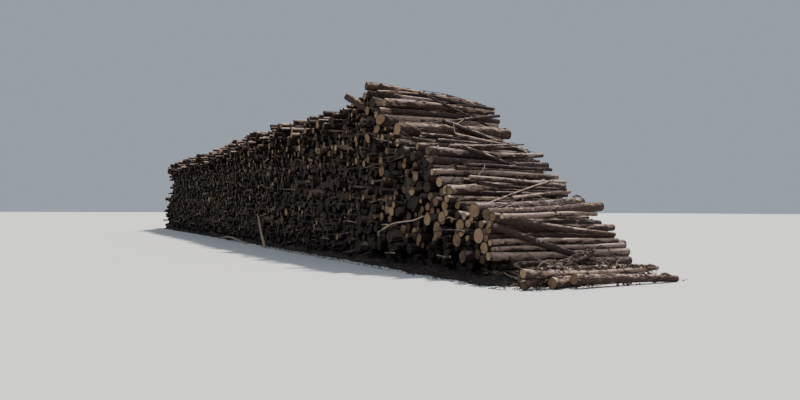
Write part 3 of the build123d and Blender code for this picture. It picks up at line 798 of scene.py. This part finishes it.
# Bareness, warmth and cleanness of the ends of the logs that show best
tones = {
    "toe_log_under": (0.08, 0.8, 0.8), "toe_log_middle": (0.50, 0.8, 0.9), "toe_log_outer": (0.42, 0.9, 1.0),
    "toe_log_upper": (0.75, 0.8, 1.0),
}
askew_tones = [
    (0.38, 0.6, 1.0), (0.35, 0.8, 0.9), (0.95, 0.7, 1.0), (0.22, 1.0, 0.8), (0.25, 0.6, 1.0), (0.80, 0.8, 0.7),
    (0.80, 0.7, 0.8), (1.00, 0.6, 1.0), (0.65, 0.6, 0.7), (0.50, 0.8, 1.0), (0.45, 0.9, 1.0), (0.70, 0.8, 0.9),
    (0.75, 0.7, 0.8), (0.55, 0.9, 0.6),
]
tones.update({f"askew_log_{k + 1}": tone for k, tone in enumerate(askew_tones)})
dry = dict(mats=[dry_wood, dry_wood], slot="dry_sticks")
toe_ends = {}
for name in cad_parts:
    if name.startswith(("askew", "toe_log", "leaning")):
        start, ra, end, rb = free_log(name)
        start[2] = min(start[2], box_high[2] - 1.1 * ra)
        end[2] -= sunk(end[0], end[2])
        if name.startswith("toe"):
            toe_ends[name] = start, end, ra, rb
        ends = (start[None], end[None], np.array([ra]), np.array([rb]))
        looks = dict(bend=0.022, own_tone=tones.get(name))
        if name.startswith("toe"):
            looks.update(slot="toe_logs")
        if name.startswith("lean"):
            looks = dict(bend=0.006, pale=(0.8, 0.9), **dry)
        piece = log_piece(name + "_bark", *ends, 24, 60, knots=9, **looks)
        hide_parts(name)
        heap.add(*ends)

# The covered logs, among them those whose ends stand furthest out
standing = {name: island_logs(name) for name in ("front_standing_ends", "back_standing_ends")}
standing["front_standing_ends"][:, 4] = back_face - 0.05
standing["back_standing_ends"][:, 3] = front_face + 0.10
pile = Pile(np.concatenate([every, *standing.values()])[:, :3])
covered_from, covered_to = core_low[0] - 0.02, core_high[0] + 0.25
draws = np.random.default_rng(seed + 1)


def outline_top(x):
    """The height under which covered logs may lie: the top of the core, falling off at its far end."""
    return float(crest_curve(np.array(x))) + (0.1 if x > core_low[0] + far_run else 0.0)


def covered(x, z, r):
    """Whether a round lies where the logs are covered."""
    return covered_from < x - r and x < covered_to and z < outline_top(x)


def draw_radius():
    """A bell-shaped random radius, cut off at the least and the most."""
    return float(np.clip(draws.normal(mean_covered, covered_spread), least_covered, most_covered))


filled = pile.fill(draw_radius, covered, lambda x, z: z * 0.7 - x)
filled = filled[np.argsort(-filled[:, 0])]
filled = np.column_stack([filled, np.full(len(filled), front_face), np.full(len(filled), back_face)])
covered_detail = [(12, 4, 2), (10, 3, 1)] + 4 * [(7, 3, 1)]  # sides, rings and caps from the near end on
for k, (part, (sides, rings, caps)) in enumerate(zip(np.array_split(filled, 6), covered_detail)):
    piece, _ = dress(f"covered_logs_{k + 1}", part, sides, rings, taper=0.4, loose=0.085,
                     slot="covered_logs", caps=caps, knots=0, rough=0.04, clean=0.98 - 0.04 * k, dullness=1.3)
    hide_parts("covered_logs_core")
for name, logs in standing.items():
    piece, _ = dress(name + "_bark", logs, 14, 8, taper=0.1, loose=0.0, slot="covered_logs", knots=2)
    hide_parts(name)


# Loose sticks, splinters and bark

flake = dict(mats=[litter, litter], slot="debris", rings=3, bend=0.3, rough=0.3, knots=0)


def sticks(name, start, end, ra, rb, sides=6, rings=7, **looks):
    """One joined mesh for sticks or flakes."""
    log_piece(name, start, end, ra, rb, sides, rings, caps=1, **looks)


# How far out lying sticks may reach, and how steep they may be
lying_front, lying_back, lying_foot = front_face - 0.35, back_face + 0.05, cad_box[1][0] - 0.05
steepest = 0.5


def scatter_lying(count, x, y, lengths, radii, spread, most_over, keep=False):
    """Sticks that lie on the heap: random places, turned from Y by a bell-shaped random angle.

    Those that stand out of the stack, lie steeply, hang over the heap by more than most_over or reach the top
    of the part's box are drawn again. Kept ones carry those that come after them.
    """
    rows = []
    while len(rows) < count:
        length, r = rng.uniform(*lengths), rng.uniform(*radii)
        turn = rng.normal(0, spread)
        cx, cy = rng.uniform(*x) + near_foot, rng.uniform(*y) + front_face
        dx, dy = sin(turn) * length / 2, cos(turn) * length / 2
        if cy - dy < lying_front or cy + dy > lying_back or cx + abs(dx) > lying_foot:
            continue
        ra, rb = r, r * rng.uniform(0.5, 0.95)
        start, end, overhang = heap.lie((cx - dx, cy - dy, cx + dx, cy + dy), ra, rb)
        if overhang > most_over or abs(start[2] - end[2]) > steepest * length:
            continue
        if max(start[2], end[2]) + 1.5 * r > box_high[2]:
            continue
        rows.append((start, end, ra, rb))
        if keep:
            heap.add(start[None], end[None], np.array([ra]), np.array([rb]))
    return [np.array(column) for column in zip(*rows)]


thin = scatter_lying(24, (-5.6, -0.9), (1.2, 2.4), (2.2, 3.7), (0.03, 0.062), 0.07, most_over=0.22, keep=True)
top = scatter_lying(16, (-38.0, -7.0), (1.5, 2.1), (3.0, 3.7), (0.04, 0.085), 0.06, most_over=0.12, keep=True)
thin = [np.concatenate(pair) for pair in zip(thin, top)]
log_piece("thin_logs", *thin, 14, 26, bend=0.03, knots=8)
twigs = scatter_lying(170, (-6.0, 0.2), (0.0, 3.6), (0.25, 1.3), (0.004, 0.012), 0.4, most_over=0.12)
sticks("slope_twigs", *twigs, bend=0.16, rough=0.05, knots=2, **dry)


def scattered(count, x, y, height, sizes, widths, spread, raised):
    """Ends and radii of pieces on a height, turned at random and lifted by a bell-shaped random angle."""
    cx, cy = rng.uniform(*x, count) + near_foot, rng.uniform(*y, count) + front_face
    length, r = rng.uniform(*sizes, count), rng.uniform(*widths, count)
    turn, lift = rng.uniform(0, pi, count), rng.normal(0, spread, count)
    u = np.column_stack([np.cos(turn) * np.cos(lift), np.sin(turn) * np.cos(lift), np.sin(lift)])
    z = height(cx, cy) if callable(height) else height
    middle = np.column_stack([cx, cy, z + raised * r + np.abs(u[:, 2]) * length / 2])
    half = u * length[:, None] / 2
    return middle - half, middle + half, r


bank_run, under_logs, bank_rim = (-41.2, 0.75), 0.30, 0.006  # along the stack; across; height of the rim


def litter_and_shade_bank(name, count_x, count_y):
    """The bank of bark crumbs and soil along the foot of the front face, nearly black so that it also stands in
    for the shade there, as painted shade.

    A grid along the stack and across its foot. Across, its height rises smoothly from the outer edge to the
    face and stays level under the logs. Along, the reach and the height swell and shrink by sums of sines,
    and by smooth steps at both ends. A small random height makes it crumbly. A flat underside and a low rim
    close it.
    """
    x = np.linspace(*bank_run, count_x)[:, None]
    v = np.linspace(0.0, 1.0, count_y)[None, :]
    wave = 0.5 + 0.2 * np.sin(2.1 * x) + 0.2 * np.sin(5.3 * x + 1.0) + 0.1 * np.sin(13.7 * x + 2.0)
    reach = (0.16 + 0.24 * wave + 0.20 * step(-6.0, -1.5, x)) * (1.0 - step(0.2, 0.75, x) * 0.6)
    reach = reach * (1.0 - 0.85 * step(-37.0, -41.0, x))
    y = -reach + (reach + under_logs) * v
    rise = step(0.0, 1.0, np.clip(1.0 + y / reach, 0.0, 1.0))
    top = bank_rim + (0.05 + 0.10 * wave) * rise * (1.0 - 0.7 * step(0.1, 0.75, x))
    top = top + rise * rng.uniform(-0.02, 0.02, top.shape)
    x = np.broadcast_to(x, top.shape) + near_foot + rng.uniform(-0.02, 0.02, top.shape)
    y = y + front_face + rng.uniform(-0.012, 0.012, top.shape)
    grid = np.stack([x, y, np.maximum(top, bank_rim)], -1)
    under = grid.copy()
    under[..., 2] = 0.002
    count = count_x * count_y
    index = np.arange(count).reshape(count_x, count_y)
    a, b, c, d = index[:-1, :-1], index[1:, :-1], index[1:, 1:], index[:-1, 1:]
    upper = np.stack([a, b, c, d], -1).reshape(-1, 4)
    rim = np.concatenate([index[:, 0], index[-1, 1:], index[-2::-1, -1], index[0, -2:0:-1]])
    wall = np.stack([rim, rim + count, np.roll(rim, -1) + count, np.roll(rim, -1)], -1)
    faces = np.concatenate([upper, upper[:, ::-1] + count, wall])
    points = np.clip(np.concatenate([grid.reshape(-1, 3), under.reshape(-1, 3)]), box_low, box_high)
    uv = points[faces][..., :2]
    tone = np.tile([[0.3, 0.5, 0.5]], (len(points), 1))
    mesh_piece(name, points, [faces], [soil_and_painted_shade], [np.zeros(len(faces))], [uv], tone,
               np.ones(len(points)), [np.ones(len(faces))])


litter_and_shade_bank("litter_and_shade_bank", 620, 10)


mound_place, mound_width, mound_height = 0.33, 0.36, 0.31  # place and half width along the stack


def mound(x, y):
    """The heap of litter at the foot of the near end: a bell across it and a flat top along it."""
    u, v = fit(x) - mound_place, y - front_face
    return mound_height * np.exp(-((u / mound_width) ** 2)) * step(0.1, 1.2, v) * (1 - step(2.9, 3.75, v))


def inside_mound(x, y):
    """A random height in the heap, by the root of a random share, so that most lie near its top."""
    return mound(x, y) * rng.uniform(0.0, 1.0, x.shape) ** 0.5


# Flakes of bark: how many, where along and across the stack and on what height, lengths, radii, paleness
for name, count, x, y, height, sizes, widths, pale in (
        ("heap_bark", 2000, (-0.35, 1.0), (0.2, 3.6), inside_mound, (0.06, 0.28), (0.016, 0.055), (0.0, 1.0)),
        ("ground_bark", 420, (-1.2, 1.6), (0.4, 3.7), 0.0, (0.03, 0.14), (0.008, 0.03), (0.0, 1.0)),
        ("ground_bark_front", 260, (-0.6, 1.5), (-0.35, 0.6), 0.0, (0.02, 0.10), (0.006, 0.02), (0.0, 1.0)),
        ("face_foot_bark", 600, (-40.0, 0.6), (-0.42, 0.0), 0.01, (0.03, 0.16), (0.008, 0.03), (0.0, 0.6)),
        ("edge_bark", 800, (-14.0, 1.2), (-0.72, -0.22), 0.003, (0.015, 0.07), (0.005, 0.014), (0.0, 0.7))):
    start, end, r = scattered(count, x, y, height, sizes, widths, spread=0.25, raised=0.3)
    sticks(name, start, end, r, r * rng.uniform(0.3, 0.9, count), flat=0.25, pale=pale, **flake)

# Bark that has dropped on the toe logs, most of it on the one that the heap half covers
toes = np.array([np.concatenate([start, end, [ra, rb]]) for start, end, ra, rb in toe_ends.values()])
buried, upper = list(toe_ends).index("toe_log_under"), list(toe_ends).index("toe_log_upper")
count = 620
share = rng.uniform(0, 1, count)
pick = np.where(share < 0.5, buried, np.where(share < 0.75, upper, rng.integers(0, len(toes), count)))
t = np.where(pick == buried, rng.uniform(0.25, 1.0, count), rng.uniform(0.05, 0.95, count))[:, None]
side = rng.uniform(-0.85, 0.85, count)
start, end = toes[pick, 0:3], toes[pick, 3:6]
r = toes[pick, 6] * (1 - t[:, 0]) + toes[pick, 7] * t[:, 0]
across = unit(np.cross(end - start, np.array([0.0, 0.0, 1.0])))
centre = start * (1 - t) + end * t + across * (side * r)[:, None]
centre[:, 2] += r * np.sqrt(1 - side ** 2) + 0.008 + rng.uniform(0.0, 0.05, count) * (pick == buried)
turn, length = rng.uniform(0, pi, count), rng.uniform(0.04, 0.19, count)
half = np.column_stack([np.cos(turn), np.sin(turn), rng.normal(0.0, 0.15, count)]) * length[:, None] / 2
width = rng.uniform(0.010, 0.038, count)
sticks("toe_bark_flakes", centre - half, centre + half, width, 0.6 * width, flat=0.3, **flake)

start, end, r = scattered(240, (-0.35, 0.95), (0.3, 3.5), lambda x, y: inside_mound(x, y) + 0.02,
                          (0.15, 0.9), (0.005, 0.016), spread=0.22, raised=0.0)
sticks("heap_twigs", start, end, r, 0.5 * r, bend=0.3, rough=0.05, knots=1, **dry)


def on_face(count, x, z, share):
    """Random places on the front face, no higher than a share of the slope of the near end above them."""
    px, pz = -rng.uniform(*x, count), rng.uniform(*z, count)
    return px, np.minimum(pz, share * (0.6 + 0.85 * np.abs(px)))


# Sticks that stand out of the front face, and sticks that lie along it
count = 260
px, pz = on_face(count, (3.2, 16.0), (0.15, 4.3), 0.85)
out = rng.uniform(0.08, 0.40, count)
start = np.column_stack([px + near_foot, np.full(count, front_face + 0.3), pz])
end = start + np.column_stack([rng.normal(0, 0.28, count), -0.3 - out, rng.normal(-0.06, 0.16, count)])
end[:, 2] = np.maximum(end[:, 2], 0.03)
r = rng.uniform(0.005, 0.02, count)
sticks("face_sticks", start, end, r, 0.6 * r, rings=5, bend=0.10, knots=1, pale=(0.0, 0.6), **dry)
count = 170
px, pz = on_face(count, (0.5, 36.0), (0.2, 4.3), 0.8)
start = np.column_stack([px + near_foot, front_face - rng.uniform(-0.05, 0.22, count), pz])
length = rng.uniform(0.3, 1.3, count)
end = start + np.column_stack([-length, rng.normal(0.05, 0.12, count), rng.normal(0, 0.12, count) * length])
r = rng.uniform(0.010, 0.032, count)
sticks("face_cross_sticks", start, end, r, 0.7 * r, bend=0.12, knots=1, mats=[log_bark, dry_wood],
       slot="dry_sticks")


def at(x, y, z):
    """A place measured from the foot of the near end and the front face."""
    return (x + near_foot, y + front_face, z)


# The forked branch on the face, the branch on the ground and the log that juts out by the peak
fork = np.array([at(-2.77, 0.1, 1.28), at(-3.55, -0.28, 1.10), at(-3.55, -0.28, 1.10), at(-3.7, -0.35, 1.02)])
fork_end = np.array([
    at(-3.55, -0.28, 1.10), at(-4.1, -0.33, 0.93), at(-3.95, -0.42, 1.06), at(-3.98, -0.5, 0.86)])
fork_radii = np.array([0.022, 0.016, 0.013, 0.011]), np.array([0.016, 0.007, 0.005, 0.005])
sticks("forked_branch", fork, fork_end, *fork_radii, rings=12, bend=0.12, knots=2, pale=(0.9, 1.0), **dry)
low_branch = np.array([at(-20.4, -0.66, 0.04), at(-18.0, -0.63, 0.05)])
low_branch_end = np.array([at(-15.6, -0.62, 0.05), at(-16.6, -0.52, 0.20)])
sticks("fallen_branch", low_branch, low_branch_end, np.array([0.028, 0.014]), np.array([0.040, 0.007]),
       rings=16, bend=0.06, knots=2, pale=(0.75, 0.85), **dry)
jut_tip, jut_root = np.array([at(-6.17, -0.40, 4.62)]), np.array([at(-5.45, 0.45, 3.95)])
log_piece("jutting_log", jut_tip, jut_root, np.array([0.095]), np.array([0.10]), 24, 24, knots=3,
          own_tone=(0.35, 1.0, 1.0))

# Strips of bark that lie across the logs of the near end
strips = scatter_lying(380, (-6.2, -0.1), (0.05, 3.6), (0.08, 0.34), (0.008, 0.024), 0.6, most_over=0.08)
sticks("slope_bark", *strips, sides=5, flat=0.35, **flake)

# Logs below the peak that are turned or stand out a little, with large clean ends
turned_front = np.array([at(-4.37, -0.24, 3.75), at(-4.64, -0.20, 3.53), at(-5.38, -0.12, 3.38)])
turned_back = np.array([at(-4.77, 1.2, 3.52), at(-5.02, 1.2, 3.30), at(-5.38, 1.4, 3.36)])
turned_radii = np.array([0.155, 0.120, 0.145]), np.array([0.15, 0.12, 0.145])
log_piece("turned_logs", turned_front, turned_back, *turned_radii, 20, 8, bend=0.005, knots=2, tilt=0.12,
          own_tone=(0.4, 0.8, 0.93))


# Floor, camera and light
floor_mesh = bpy.data.meshes.new("floor")
reach = 400
corners = [(-reach, -reach, 0), (reach, -reach, 0), (reach, reach, 0), (-reach, reach, 0)]
floor_mesh.from_pydata(corners, [], [(0, 1, 2, 3)])
floor_mesh.materials.append(make_floor_finish())
floor = added("floor", floor_mesh)

eye = Vector(at(9.77, -7.49, 1.40))
yaw, pitch, roll = radians(61.0), radians(1.0), radians(0.18)
ahead = Vector((-sin(yaw) * cos(pitch), cos(yaw) * cos(pitch), sin(pitch)))
right = Vector((cos(yaw), sin(yaw), 0.0))
up = right.cross(ahead)
right, up = right * cos(roll) + up * sin(roll), up * cos(roll) - right * sin(roll)
camera_data = bpy.data.cameras.new("camera")
camera_data.lens = 27.9
camera_data.sensor_width = 36.0
camera_data.clip_end = 500.0
camera = added("camera", camera_data)
camera.matrix_world = Matrix.Translation(eye) @ Matrix((right, up, -ahead)).transposed().to_4x4()
bpy.context.scene.camera = camera


def sun(name, direction, energy, angle, colour):
    """A far lamp whose light travels along the direction."""
    data = bpy.data.lights.new(name, "SUN")
    data.energy, data.angle, data.color = energy, radians(angle), colour
    added(name, data).rotation_euler = Vector(direction).to_track_quat("-Z", "Y").to_euler()


sun("key", (0.28, -0.42, -0.88), energy=5.9, angle=3.0, colour=(1.0, 0.965, 0.92))
sun("fill", (-0.80, 0.58, -0.14), energy=1.50, angle=60.0, colour=(0.76, 0.87, 1.0))
world = bpy.data.worlds.new("studio")
world.use_nodes = True
background = world.node_tree.nodes["Background"].inputs
background["Color"].default_value = (0.76, 0.86, 1.0, 1.0)
background["Strength"].default_value = 0.45
bpy.context.scene.world = world
